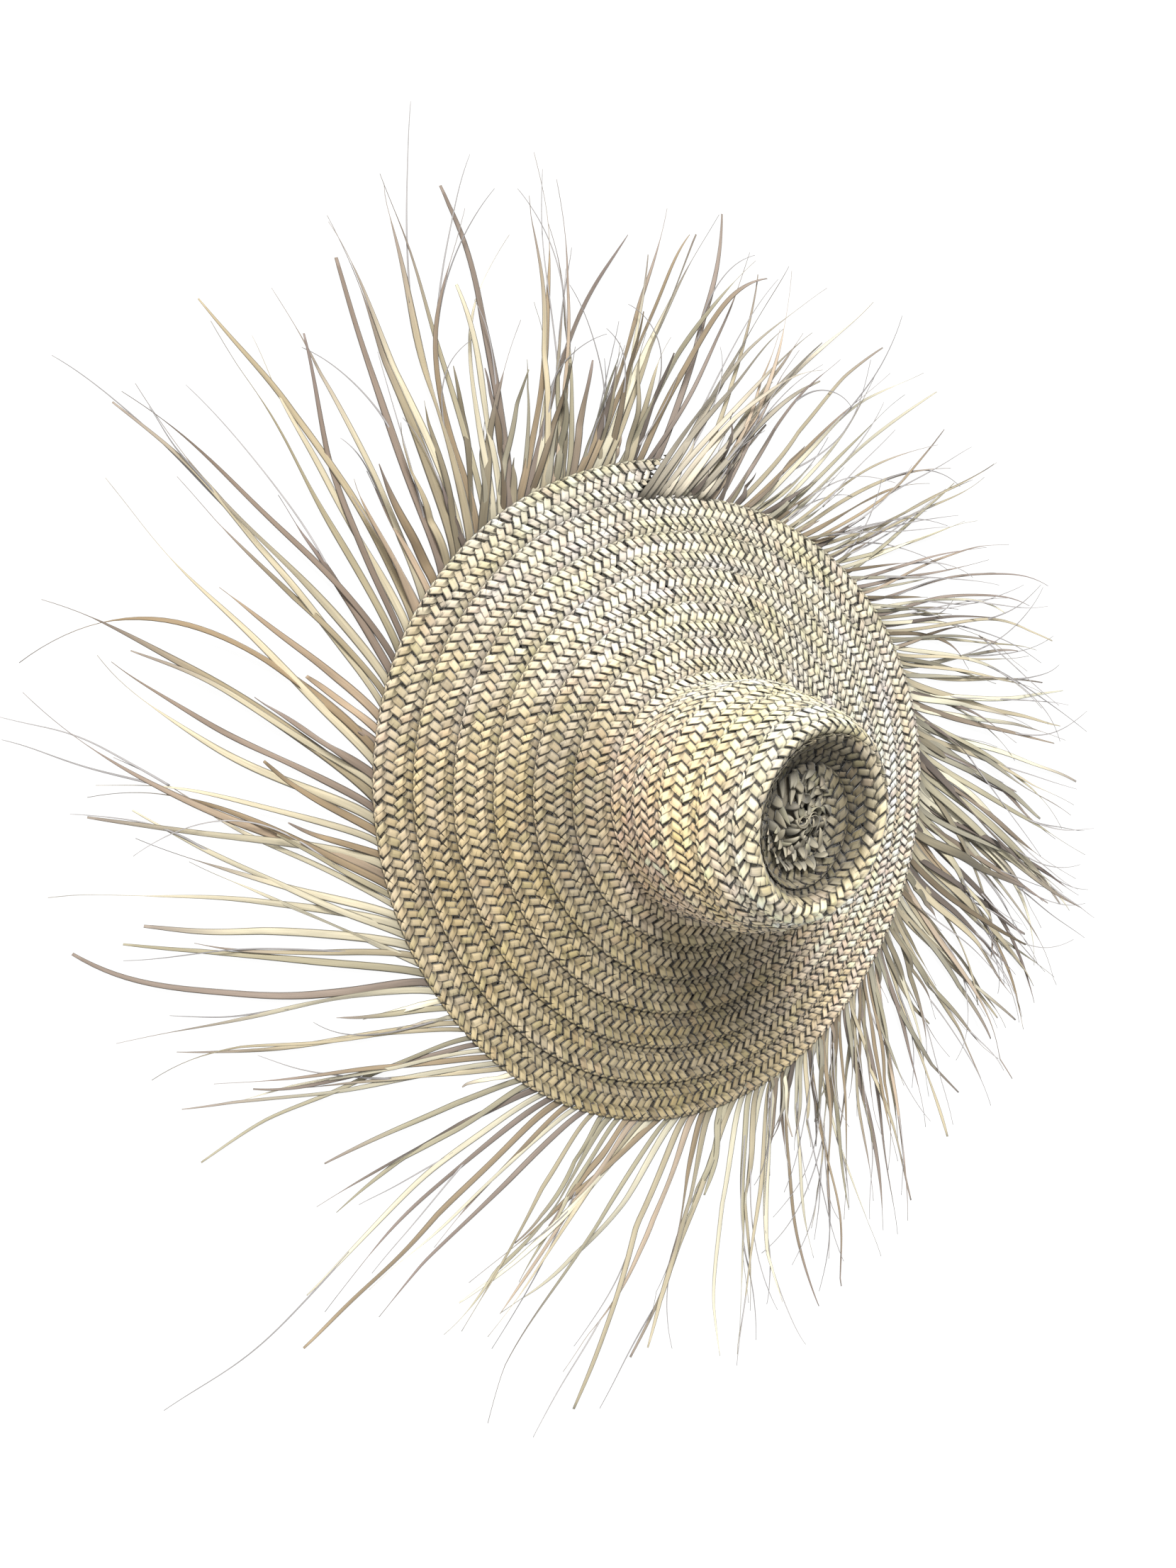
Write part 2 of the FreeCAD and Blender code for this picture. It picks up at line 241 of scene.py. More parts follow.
MOVED_A, MOVED_B = summed(rate_a), summed(rate_b)
MOVED_A -= np.interp(-HALF, across, MOVED_A)
MOVED_B -= np.interp(-HALF, across, MOVED_B) + 0.5


def moved(table, v):
    return np.interp(v, across, table)


def over_under(n):
    """1 where a strip of family A lies over the others at crossing n, -1 where it lies under."""
    steep = 3.0
    return -np.tanh(steep * np.sin(math.pi * (n + 0.5) / 2)) / math.tanh(steep)


def waves(shape, count, scale):
    """Smooth random waves along the last axis, one row for each strip."""
    t = np.linspace(0, 1, shape[1])
    total = np.zeros(shape)
    for i in range(1, count + 1):
        size = random.normal(0, 1 / i, (shape[0], 1))
        total += size * np.sin(math.pi * i * t + random.uniform(0, TURN, (shape[0], 1)))
    return total * scale


# ---------------------------------------------------------------- colour
# Waves of colour round the hat and along its profile, with their phases, and how strong each channel's are
MOTTLE = [(3, 95, 0.4), (7, -160, 2.1), (11, 210, 4.0), (16, -70, 5.2), (5, 330, 1.1)]
MOTTLE_RGB = 0.055 * np.array([0.4, 0.5, 1.6])
STRAW = np.array([0.735, 0.640, 0.445])  # the colour that the patches of tint and painted light start from


def off_degrees(azimuth, degrees):
    """How far azimuths in degrees lie from one azimuth, between -180 and 180."""
    return (azimuth - degrees + 180) % 360 - 180


def tint_and_painted_light(azimuth, s):
    """The hat's broad colours with painted light and shade, by azimuth and by arc length from the tip's
    centre.
    """

    def patch(degrees, spread, start, end, soft=0.012):
        """1 near an azimuth and between two arc lengths, and 0 away from there."""
        near = np.exp(-((off_degrees(np.degrees(azimuth), degrees) / spread) ** 2))
        return near / (1 + np.exp((start - s) / soft)) / (1 + np.exp((s - end) / soft))

    base = np.broadcast_to(STRAW, (*np.shape(azimuth), 3)).copy()

    def lay(amount, colour):
        base[:] = base + amount[..., None] * (np.array(colour) - base)

    # Each patch gives its azimuth, how wide it is, and from where to where it goes along the profile. The
    # patches are partly the hat's own colours and partly painted light and shade
    lay(patch(62, 62, 0.205, 1), (0.86, 0.80, 0.66))  # the brim's pale side, partly painted light
    lay(0.55 * patch(250, 55, 0.22, 1), (0.53, 0.45, 0.30))  # the brim's brown side, partly painted shade
    lay(0.5 * patch(180, 30, 0.32, 1), (0.70, 0.58, 0.44))  # a reddish stretch of the outer turns
    lay(0.75 * patch(165, 35, 0.205, 0.26), (0.72, 0.57, 0.32))  # round the crown's foot
    lay(0.8 * patch(200, 75, 0.135, 0.205), (0.85, 0.66, 0.47))  # the crown's side
    lay(0.8 * patch(170, 90, 0.110, 0.140, 0.006), (0.86, 0.72, 0.38))  # a yellow turn
    lay(0.6 * patch(100, 50, 0.12, 0.21), (0.84, 0.78, 0.62))  # the crown's pale side, partly painted light
    lay(0.8 * patch(170, 120, 0.062, 0.100, 0.006), (0.86, 0.78, 0.62))  # the rim
    lay(0.95 * patch(0, 1000, -1, 0.064, 0.003), (0.40, 0.37, 0.29))  # the sunken tip, greyer and partly painted shade in the hollow

    # A factor on the colour in a patch, which paints light or shade there
    def painted_light_gain(amount, colour):
        base[:] = base * (1 + amount[..., None] * (np.array(colour) - 1))

    # The brim, round the hat: painted light and shade that make it lighter or darker side by side, partly its
    # own colour as well
    painted_light_gain(patch(195, 48, 0.209, 1), (0.84, 0.81, 0.73))
    painted_light_gain(patch(180, 45, 0.200, 0.262, 0.006), (0.66, 0.69, 0.77))
    painted_light_gain(patch(192, 40, 0.240, 0.345, 0.015), (0.91, 0.88, 0.83))
    painted_light_gain(patch(270, 42, 0.225, 1), (0.60, 0.575, 0.50))
    painted_light_gain(patch(325, 38, 0.230, 1), (1.42, 1.38, 1.50))
    painted_light_gain(patch(0, 40, 0.230, 1), (1.12, 1.14, 1.25))
    painted_light_gain(patch(0, 50, 0.335, 1, 0.004), (0.90, 0.87, 0.84))
    painted_light_gain(patch(62, 34, 0.215, 1), (0.86, 0.86, 0.82))
    painted_light_gain(patch(125, 30, 0.215, 1), (1.16, 1.20, 1.36))
    # The crown and its rim: painted light on the crown round azimuths 190 and 95, painted shade on the rim
    # round 215, partly their own colour as well
    painted_light_gain(patch(190, 70, 0.098, 0.205, 0.005), (1.20, 1.13, 1.13))
    painted_light_gain(patch(95, 45, 0.072, 0.205, 0.005), (1.12, 1.19, 1.25))
    painted_light_gain(patch(215, 70, 0.060, 0.078, 0.003), (0.84, 0.84, 0.80))
    # The sunken tip: painted shade in the hollow, deeper round azimuth 0 and in its middle, partly its own
    # greyer colour, and painted light on the rim round azimuth 270
    painted_light_gain(patch(0, 1000, 0.034, 0.062, 0.003), (0.55, 0.52, 0.45))
    painted_light_gain(patch(0, 60, 0.034, 0.062, 0.003), (0.70, 0.68, 0.64))
    painted_light_gain(patch(270, 65, 0.062, 0.090, 0.003), (1.46, 1.46, 1.44))
    painted_light_gain(patch(0, 1000, -1, 0.034, 0.003), (0.78, 0.77, 0.74))

    mottle = sum(np.sin(a * azimuth + b * s + c) for a, b, c in MOTTLE) / 2
    return base * (1 + mottle[..., None] * MOTTLE_RGB)


def strip_tones(n):
    """Each strip's own shade, as a factor on the hat's colour."""
    kinds = np.array([
        (1, 1, 1),  # straw
        (1.12, 1.10, 1.06),  # cream
        (0.90, 0.87, 0.81),  # tan
        (0.90, 0.91, 0.82),  # olive
        (0.76, 0.74, 0.74),  # grey-brown
        (1.02, 0.95, 0.92),  # pinkish
    ])
    pick = random.choice(len(kinds), n, p=[0.34, 0.26, 0.16, 0.11, 0.06, 0.07])
    return kinds[pick] * random.normal(1, 0.07, (n, 1))


# ---------------------------------------------------------------- meshes
def new_mesh(name, rings, tone, across_uv, along_uv, slot, *nodes):
    """One piece of many closed ribbons.

    rings is (ribbons, rings, columns, 3), and the columns go round each ribbon.
    """
    n, m, c, _ = rings.shape
    index = np.arange(n * m * c).reshape(n, m, c)
    a, b = index[:, :-1], index[:, 1:]
    quads = np.stack([a, np.roll(a, -1, 2), np.roll(b, -1, 2), b], -1).reshape(-1, 4)
    caps = np.concatenate([index[:, 0, ::-1].reshape(-1, c), index[:, -1].reshape(-1, c)])
    loops = np.concatenate([quads.ravel(), caps.ravel()])
    starts = np.concatenate([np.arange(len(quads)) * 4, len(quads) * 4 + np.arange(len(caps)) * c])
    me = bpy.data.meshes.new(name)
    me.vertices.add(n * m * c)
    me.vertices.foreach_set("co", rings.reshape(-1).astype(np.float32))
    me.loops.add(len(loops))
    me.loops.foreach_set("vertex_index", loops.astype(np.int32))
    me.polygons.add(len(starts))
    me.polygons.foreach_set("loop_start", starts.astype(np.int32))
    me.polygons.foreach_set("use_smooth", np.ones(len(starts), bool))
    me.update(calc_edges=True)
    colour = np.ones((n * m * c, 4), np.float32)
    colour[:, :3] = np.clip(np.broadcast_to(tone, (n, m, c, 3)).reshape(-1, 3), 0.02, 0.95)
    me.color_attributes.new("tone", "FLOAT_COLOR", "POINT").data.foreach_set("color", colour.ravel())
    uv = np.stack([np.broadcast_to(one, (n, m, c)) for one in (across_uv, along_uv)], -1).reshape(-1, 2)
    me.uv_layers.new(name="strand").data.foreach_set("uv", uv[loops].astype(np.float32).ravel())
    me.validate()
    me.materials.append(materials[slot])
    ob = bpy.data.objects.new(name, me)
    bpy.context.scene.collection.objects.link(ob)
    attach(ob, "root")
    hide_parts(*nodes)


def leaf_material(name, grain=0.16, rough=0.52):
    """Dried palm leaf: each strip's tone, which holds its colour and painted shade and light, fine fibres
    along it, and a soft gloss.
    """
    mat = bpy.data.materials.new(name)
    mat.use_nodes = True
    nodes, links = mat.node_tree.nodes, mat.node_tree.links
    shader = nodes["Principled BSDF"]
    tone = nodes.new("ShaderNodeVertexColor")
    tone.layer_name = "tone"
    uv = nodes.new("ShaderNodeUVMap")
    uv.uv_map = "strand"

    def fibres(scale_across, scale_along, detail):
        stretch = nodes.new("ShaderNodeMapping")
        stretch.inputs["Scale"].default_value = (scale_across, scale_along, 1)
        noise = nodes.new("ShaderNodeTexNoise")
        noise.inputs["Scale"].default_value = 1
        noise.inputs["Detail"].default_value = detail
        links.new(uv.outputs["UV"], stretch.inputs["Vector"])
        links.new(stretch.outputs["Vector"], noise.inputs["Vector"])
        return noise.outputs["Fac"]

    fine, broad = fibres(14, 0.9, 3), fibres(3, 0.5, 2)
    both = nodes.new("ShaderNodeMath")
    both.operation = "ADD"
    links.new(fine, both.inputs[0])
    links.new(broad, both.inputs[1])
    shade = nodes.new("ShaderNodeMapRange")
    shade.inputs["From Min"].default_value = 0.7
    shade.inputs["From Max"].default_value = 1.3
    shade.inputs["To Min"].default_value = 1 - grain
    shade.inputs["To Max"].default_value = 1 + grain * 0.6
    links.new(both.outputs[0], shade.inputs["Value"])
    colour = nodes.new("ShaderNodeVectorMath")
    colour.operation = "SCALE"
    links.new(tone.outputs["Color"], colour.inputs[0])
    links.new(shade.outputs["Result"], colour.inputs["Scale"])
    links.new(colour.outputs["Vector"], shader.inputs["Base Color"])
    gloss = nodes.new("ShaderNodeMapRange")
    gloss.inputs["From Min"].default_value = 0.35
    gloss.inputs["From Max"].default_value = 0.65
    gloss.inputs["To Min"].default_value = rough + 0.12
    gloss.inputs["To Max"].default_value = rough - 0.06
    links.new(fine, gloss.inputs["Value"])
    links.new(gloss.outputs["Result"], shader.inputs["Roughness"])
    bump = nodes.new("ShaderNodeBump")
    bump.inputs["Strength"].default_value = 0.35
    bump.inputs["Distance"].default_value = 0.00025
    links.new(fine, bump.inputs["Height"])
    links.new(bump.outputs["Normal"], shader.inputs["Normal"])
    shader.inputs["Specular IOR Level"].default_value = 0.35
    shader.inputs["Sheen Weight"].default_value = 0.25
    return mat


# ---------------------------------------------------------------- the woven turns
COLUMNS = np.array([-1, -0.62, 0.62, 1, 0.72, -0.72])  # places across a strip, once round it, in half widths
FALL = np.array([1, 0.15, 0.15, 1, 0.35, 0.35])  # how far each column falls from the strip's middle
SIDE = np.array([0, 0.5, 0.5, 0, -0.5, -0.5])  # above or below the middle of its thickness
EDGE = np.array([1, 0, 0, 1, 0, 0])  # at its two edges
OUTSIDE = np.array([1, 1, 1, 1, -1, -1])  # the hat's outside sees the first four columns, its inside the rest
STRIP_RINGS = 32
WIDTH_A, WIDTH_B = 0.488, 0.472  # half a strip's width, as a part of the strips' spacing
PAST_A, PAST_B = (0.0006, 0.0010), (0.0022, 0.0006)  # how far past the plait's inner and outer edges
TILT = 0.00030  # how far a strip leans to one side as it goes over
LIT_SIDE, LIT_SPREAD = 20, 75  # degrees of azimuth: the side where the painted crease shade is deeper and the strips are painted brighter, and how wide it is
TUCK_SHADE, TUCK_WIDTH = 0.62, 0.0034  # painted shadow: how dark the plait is along its inner edge, under the neighbouring turn's edge, and how far across


def weave(family, first, last, free=0):
    """The ribbons of one family whose middles lie between two strip counts.

    They come as rings, tones and grain coordinates. At the plait's outer end, the first ones of family A come
    out from under strip number free of family B.
    """
    sign = 1 if family == "A" else -1
    table = MOVED_A if family == "A" else MOVED_B
    strips = np.arange(math.ceil(first), math.ceil(last)).astype(float)
    past = PAST_A if family == "A" else PAST_B
    inner, outer = -HALF - past[0], HALF + past[1]
    n = len(strips)
    from_v = np.full(n, inner)
    if free and family == "A":
        from_v = np.maximum(inner, np.interp(free - 0.5 - strips, MOVED_A + MOVED_B, across))
    v = from_v[:, None] + (outer - from_v)[:, None] * np.linspace(0, 1, STRIP_RINGS)
    middle = strips[:, None] + random.normal(0, 0.05, (n, 1)) + sign * moved(table, v)
    middle = middle + waves(v.shape, 3, 0.035)
    half = (WIDTH_A if family == "A" else WIDTH_B) * np.clip(random.normal(1, 0.07, (n, 1)), 0.78, 1.08)
    half = half * (1 + waves(v.shape, 3, 0.035))
    if family == "A":
        half = half * np.sqrt(np.clip(1 - ((v - HALF + 0.0014) / 0.0028), 0.15, 1))
    q = middle[..., None] + half[..., None] * COLUMNS
    vv = np.broadcast_to(v[..., None], q.shape)
    ideal = strips[:, None, None] + half[..., None] * COLUMNS + sign * moved(table, vv)
    if family == "A":
        lift = over_under(ideal + moved(MOVED_B, vv) - strips[:, None, None])
    else:
        lift = -over_under(strips[:, None, None] - ideal + moved(MOVED_A, vv))
    height = WAVE * lift * np.clip(random.normal(1, 0.25, (n, 1, 1)), 0.6, 1.7)
    height = height - ARCH * lift * FALL * np.clip(random.normal(1, 0.3, (n, 1, 1)), 0.4, 1.9)
    height = height + TILT * sign * COLUMNS * lift
    height = height + SHINGLE * (vv / HALF) ** 3 + waves(v.shape, 4, 0.00008)[..., None] + SIDE * LEAF
    points, azimuth, s = place(q, vv, height)
    # Painted shade and light in the tones: strips darker where they go under others and at their edges, the
    # crease shade deeper and the strips brighter on the lit side
    lit = np.exp(-((off_degrees(np.degrees(azimuth), LIT_SIDE) / LIT_SPREAD) ** 2))
    seen = np.clip(lift * OUTSIDE / 0.85, 0, 1) ** (1 + 1.8 * lit)
    painted_shade_and_light = (1 - CREASE_SHADE + CREASE_SHADE * seen) * (1 - RIM_SHADE * EDGE) * (1 + 0.08 * lit)
    # Painted shadow along the plait's inner edge and its inner row, and a painted highlight along its raised
    # outer edge
    seam_shade_and_highlight = 1 - TUCK_SHADE * np.exp(-(((vv + HALF) / TUCK_WIDTH) ** 2)) - 0.14 * (vv < -HALF / 2)
    seam_shade_and_highlight = seam_shade_and_highlight + 0.14 * np.exp(-(((vv - HALF) / 0.0030) ** 2))
    tone = tint_and_painted_light(azimuth, s) * strip_tones(n)[:, None, None, :] * (painted_shade_and_light * seam_shade_and_highlight)[..., None]
    along = v[..., None] * 120 + random.uniform(0, 90, (n, 1, 1))
    grain = COLUMNS * 0.5 + random.uniform(0, 60, (n, 1, 1))
    return points, tone, np.broadcast_to(grain, q.shape), np.broadcast_to(along, q.shape)


materials = {
    "brim_plait": leaf_material("brim_leaf"),
    "crown_plait": leaf_material("crown_leaf"),
    "tip_plait": leaf_material("tip_leaf"),
    "fringe_leaf": leaf_material("fringe_leaf", grain=0.2, rough=0.5),
}
BRIM_TURNS, ALL_BUT_TIP = 7, 11  # turns of the brim, and of the brim and the crown, from the outer end

for turn, node in enumerate(TURN_NODES):
    if TURN * turn >= LAG[-1]:
        break
    first, last = np.interp([TURN * turn, TURN * (turn + 1)], LAG, COUNT)
    slot = "brim_plait" if turn < BRIM_TURNS else "crown_plait" if turn < ALL_BUT_TIP else "tip_plait"
    more, free = (6, FREE) if turn == 0 else (0, 0)  # family A starts earlier at the plait's slanting end
    both = [weave("A", first - more, last, free), weave("B", first + free, last)]
    new_mesh(f"plait_{turn + 1:02d}", *(np.concatenate(part) for part in zip(*both)), slot, node)


# ---------------------------------------------------------------- laces that join the turns
LACE_HALF = 0.0022  # half a lace's width
LACE_SKIN = 0.0002  # half its thickness
LACE_DEPTH = 0.0008  # how far below the plait's middle surface it runs
LACE_WAVE = 0.0002  # how far it rises and dips on its way
LACE_SHADE = 0.35  # its tone, as a part of the plait's: painted shade, since it runs under the strips' ends


def lace(name, first_turn, last_turn, slot, node):
    """A narrow leaf that runs along the seam between turns, under the strips' ends."""
    first, last = np.interp([TURN * first_turn, min(TURN * last_turn, LAG[-1])], LAG, COUNT)
    q = np.linspace(first, last, int(2 * (last - first)))[None, :, None]
    shape = (1, q.size, 4)
    wide = np.array([-1, 1, 1, -1]) * LACE_HALF
    v = np.broadcast_to(HALF / LAP + wide, shape)
    height = LACE_WAVE * np.sin(math.pi * q) - LACE_DEPTH + np.array([1, 1, -1, -1]) * LACE_SKIN
    points, azimuth, s = place(np.broadcast_to(q, shape), v, height)
    new_mesh(name, points, tint_and_painted_light(azimuth, s) * LACE_SHADE, wide * 200, q * 0.5, slot, node)


lace("lace_brim", 1, BRIM_TURNS, "brim_plait", "brim_lace")
lace("lace_crown", BRIM_TURNS, ALL_BUT_TIP, "crown_plait", "crown_lace")
lace("lace_tip", ALL_BUT_TIP, len(TURN_NODES), "tip_plait", "tip_lace")


# ---------------------------------------------------------------- free leaves
LEAF_COLUMNS = np.array([-1, -0.62, 0.62, 1, 0.80, -0.80])  # as COLUMNS, for a loose leaf
LEAF_FOLD = np.array([0, 1, 1, 0, 0, 0])  # the columns that stand up from its edges
LEAF_SKIN = np.array([0, 0, 0, 0, 1, 1]) * LEAF * 0.8  # how far its lower face is below its upper one
LEAF_SHADE_AND_HIGHLIGHT = np.array([0.16, 1.12, 1.04, 0.24, 0.5, 0.5])  # darkest at its edges, partly brown edges and partly painted shade, with painted shade on its lower face and a painted highlight along its middle
FOLD = 0.10  # how far its middle stands up, in half widths


def free_leaves(start, heading, turnings, lengths, half, heights, twist):
    """Closed leaf strips that start at points, set off along headings and turn on their way.

    Every argument has one row for each leaf.
    """
    n, m = turnings.shape
    way = heading[:, None] + turnings
    step = (lengths / (m - 1))[:, None]
    path = np.zeros((n, m, 3))
    path[:, 1:, 0] = np.cumsum(step * np.cos((way[:, 1:] + way[:, :-1]) / 2), 1)
    path[:, 1:, 1] = np.cumsum(step * np.sin((way[:, 1:] + way[:, :-1]) / 2), 1)
    path[..., :2] += start[:, None, :2]
    path[..., 2] = np.maximum(heights, np.abs(np.sin(twist)) * half + LEAF + 0.0001)
    ahead = np.gradient(path, axis=1)
    ahead /= np.linalg.norm(ahead, axis=2)[..., None]
    level = np.stack([-ahead[..., 1], ahead[..., 0], np.zeros((n, m))], -1)
    level /= np.linalg.norm(level, axis=2)[..., None]
    upward = np.cross(ahead, level)
    aside = level * np.cos(twist)[..., None] + upward * np.sin(twist)[..., None]
    normal = np.cross(ahead, aside)
    rings = path[:, :, None] + aside[:, :, None] * (LEAF_COLUMNS * half[..., None])[..., None]
    rings = rings + normal[:, :, None] * (LEAF_FOLD * FOLD * half[..., None] - LEAF_SKIN)[..., None]
    return rings, path, way


def leaf_pieces(rings, tone, lengths, width_grain):
    """A row of leaves as new_mesh takes them: rings, tones and grain coordinates."""
    n, m = rings.shape[:2]
    grain = LEAF_COLUMNS * width_grain + random.uniform(0, 60, (n, 1, 1))
    along = (lengths[:, None] * np.linspace(0, 1, m) * 60)[..., None]
    grain, along = (np.broadcast_to(one, rings.shape[:3]) for one in (grain, along))
    return rings, tone[:, :, None] * LEAF_SHADE_AND_HIGHLIGHT[:, None], grain, along


# What changes round the hat, at every 45 degrees of azimuth
ROUND = np.arange(0, 361, 45)
LEAN = [29, 36, 28, 34, 30, 36, 31, 37, 29]  # degrees from straight out, clockwise
REACH = [0.230, 0.206, 0.204, 0.232, 0.240, 0.208, 0.232, 0.218, 0.230]  # the leaves' mean length
BREADTH = [1.55, 0.48, 0.84, 1.24, 1.24, 0.68, 1.26, 0.72, 1.55]  # a factor on their width
BEND = [-12, -9, 0, 4, 4, 0, 0, -6, -12]  # degrees by which they turn on their way
UNDER = [1.20, 0.45, 0.45, 0.62, 0.22, 0.12, 0.22, 0.62, 1.20]  # a factor on the lower leaves' length
LOWER_SIDE, LOWER_COSINE = 38, -0.25  # the azimuth where they lie, and the cosine of how far from it they go
FRINGE_LIMIT = 0.498  # no leaf reaches past this in x or y
SAMPLES = 36  # rings in one leaf
LYING = 0.0011  # how high a leaf that lies flat is
t = np.linspace(0, 1, SAMPLES)[None]
last = np.interp(TURN, LAG, COUNT)
loose = np.linspace(FREE - 8.8, FREE - 0.3, 12)  # strips past the plait's end, free over its whole width
woven = np.arange(FREE, math.ceil(last)).astype(float)
lower = woven[2:] + 0.5  # a second layer, which lies under the first on one side of the hat
from_side = np.interp(lower, COUNT, LAG) + END_AZIMUTH - math.radians(LOWER_SIDE)
lower = lower[np.cos(from_side) > LOWER_COSINE]
roots = np.concatenate([loose, woven, lower])
count, ends, under = len(roots), len(loose), len(lower)
tuck = np.where(roots < FREE, -HALF + 0.001, HALF - 0.006)
below = -0.0006  # the leaves come out of the plait just below its middle surface
start, root_azimuth, _ = place(roots - moved(MOVED_B, tuck), tuck, np.where(roots < FREE, 0.0002, below))
ahead, _, _ = place(roots - moved(MOVED_B, HALF), np.full(count, HALF), np.full(count, below))
set_off = np.arctan2(*(ahead - start)[:, 1::-1].T)
degrees = np.degrees(root_azimuth) % 360


def round_hat(values):
    """Values that are given round the hat, at the leaves' roots."""
    return np.interp(degrees, ROUND, values)


def clumps(size):
    """Random values that neighbouring leaves share."""
    knots = random.normal(0, 1, int(count / size) + 3)
    return np.interp(np.arange(count) / size, np.arange(len(knots)), knots)


# Where each leaf goes. Some of its lean it shares with its neighbours, and some is its own
lean = np.radians(round_hat(LEAN) + 7 * clumps(9) + 5 * clumps(3) + random.normal(0, 4, count))
group = np.cumsum(random.random(count) < 0.30)  # neighbours lean together in bundles
group -= group[0]
middles = np.bincount(group, np.arange(count)) / np.bincount(group)
tidy_side = np.exp(-((off_degrees(degrees, 0) / 50) ** 2))  # where the leaves lie evenly
lean += np.radians(3.6) * (1 - 0.75 * tidy_side) * np.clip(np.arange(count) - middles[group], -3, 3)
lean[:ends] = np.radians(np.linspace(36, 48, ends) + random.normal(0, 4, ends))
lean[-under:] += random.normal(0, 0.05, under)
settled = root_azimuth - lean
turn_in = (settled - set_off + math.pi) % TURN - math.pi
wild = np.where(random.random(count) < 0.14, random.normal(0, 34, count), 0)
curl = np.radians(random.normal(0, 13, count) + 10 * clumps(6) + wild + round_hat(BEND))[:, None]

# How long and how wide it is
lengths = np.clip(random.normal(0.99, 0.13, count) - 0.06 * np.abs(clumps(5)), 0.45, 1.16) * round_hat(REACH)
broken = random.random(count) < 0.22 * (1 - tidy_side)
lengths[broken] *= random.uniform(0.22, 0.60, broken.sum())
lengths[:ends] += PITCH
lengths[:ends] *= random.uniform(0.75, 1.05, ends)
lengths[-under:] *= round_hat(UNDER)[-under:] * random.uniform(0.75, 1.05, under)
stiff = np.clip(lengths / 0.22, 0, 1)[:, None]  # a short leaf waves less than a long one
winding = (curl * t**2.0 + waves((count, SAMPLES), 5, 0.12) * t) * stiff
turnings = turn_in[:, None] * (1 - np.exp(-t / 0.07)) + winding
widths = np.clip(random.normal(0.0047, 0.0008, count), 0.0028, 0.0064) * round_hat(BREADTH)
blade = random.uniform(0.74, 1.14, (count, 1))  # where along it a leaf has narrowed to a thread
widths[:ends] = random.uniform(0.0040, 0.0054, ends)
taper = np.clip(1 - (t / blade) ** 2.3, 0, 1) ** 0.80
half = widths[:, None] / 2 * taper * (1 + waves((count, SAMPLES), 5, 0.05)) + 0.00022

# How it twists, and how high it lies: it drops from the plait to the plane the hat rests on
beyond_root = np.clip((t - 0.08) * 3, 0, 1)
twist = waves((count, SAMPLES), 4, 0.46) * beyond_root
root_height = start[:, 2:3]
drop = root_height + (LYING - root_height) * np.clip(t / 0.12, 0, 1)
arch = 0.0032 * np.clip(t / 0.06, 0, 1) * np.clip(1.6 - t * 2.2, 0, 1)  # loose strips rise over the others
drop[:ends] = root_height[:ends] + arch + (LYING - root_height[:ends]) * np.clip((t - 0.12) / 0.3, 0, 1)
drop[:ends] += 0.0009 * (np.arange(ends) % 3)[:, None] * np.clip(t / 0.05, 0, 1)
rise = np.abs(waves((count, SAMPLES), 3, 0.0040)) * beyond_root + random.uniform(0, 0.0012, (count, 1))
tips_up = np.where(random.random((count, 1)) < 0.3, random.uniform(0.004, 0.022, (count, 1)), 0) * t**3
for _ in range(4):
    rings, path, way = free_leaves(start, set_off, turnings, lengths, half, drop + rise + tips_up, twist)
    reach = np.abs(path[..., :2]).max((1, 2))
    lengths = lengths * np.where(reach > FRINGE_LIMIT, 0.97 * FRINGE_LIMIT / reach, 1)

LEAF_TONES = 0.86 * np.array([
    (0.58, 0.51, 0.36),  # tan
    (0.80, 0.75, 0.58),  # cream
    (0.50, 0.46, 0.33),  # olive
    (0.42, 0.33, 0.22),  # brown
    (0.33, 0.27, 0.23),  # dark brown
    (0.62, 0.50, 0.38),  # pinkish
])
leaf_tone = LEAF_TONES[random.choice(len(LEAF_TONES), count, p=[0.22, 0.28, 0.16, 0.14, 0.13, 0.07])]
leaf_tone = leaf_tone * random.normal(1, 0.08, (count, 1))
leaf_tone[:ends] = np.array([0.61, 0.55, 0.44]) * random.uniform(0.62, 1.35, (ends, 1))
# Painted shade: the lower layer of leaves, which lies under the others, is half as bright
leaf_tone[-under:] *= 0.50
leaf_tone *= 1 - np.exp(-(((degrees - 165) / 45) ** 2))[:, None] * np.array([0.06, 0.12, 0.20])
# Painted light: the leaves on the lit side, round azimuth 40, are up to 18% brighter
lit_side_brightening = 1 + 0.18 * np.exp(-((off_degrees(degrees, 40) / 55) ** 2))
shadow = 1 - 0.72 * np.exp(-t / 0.08)  # under the brim's edge
uneven = 1 + waves((count, SAMPLES), 5, 0.06)
leaf_tone = (leaf_tone * lit_side_brightening[:, None])[:, None, :] * (shadow * uneven)[..., None]
dark_tip = (random.random((count, 1)) < 0.45) * np.clip((t - blade * 0.62) * 3.5, 0, 1)
leaf_tone = leaf_tone + (np.array([0.30, 0.24, 0.22]) - leaf_tone) * (0.75 * dark_tip)[..., None]
thread = np.clip((t - blade) * 8, 0, 1)
leaf_tone = leaf_tone + (np.array([0.46, 0.44, 0.44]) - leaf_tone) * (0.7 * thread)[..., None]

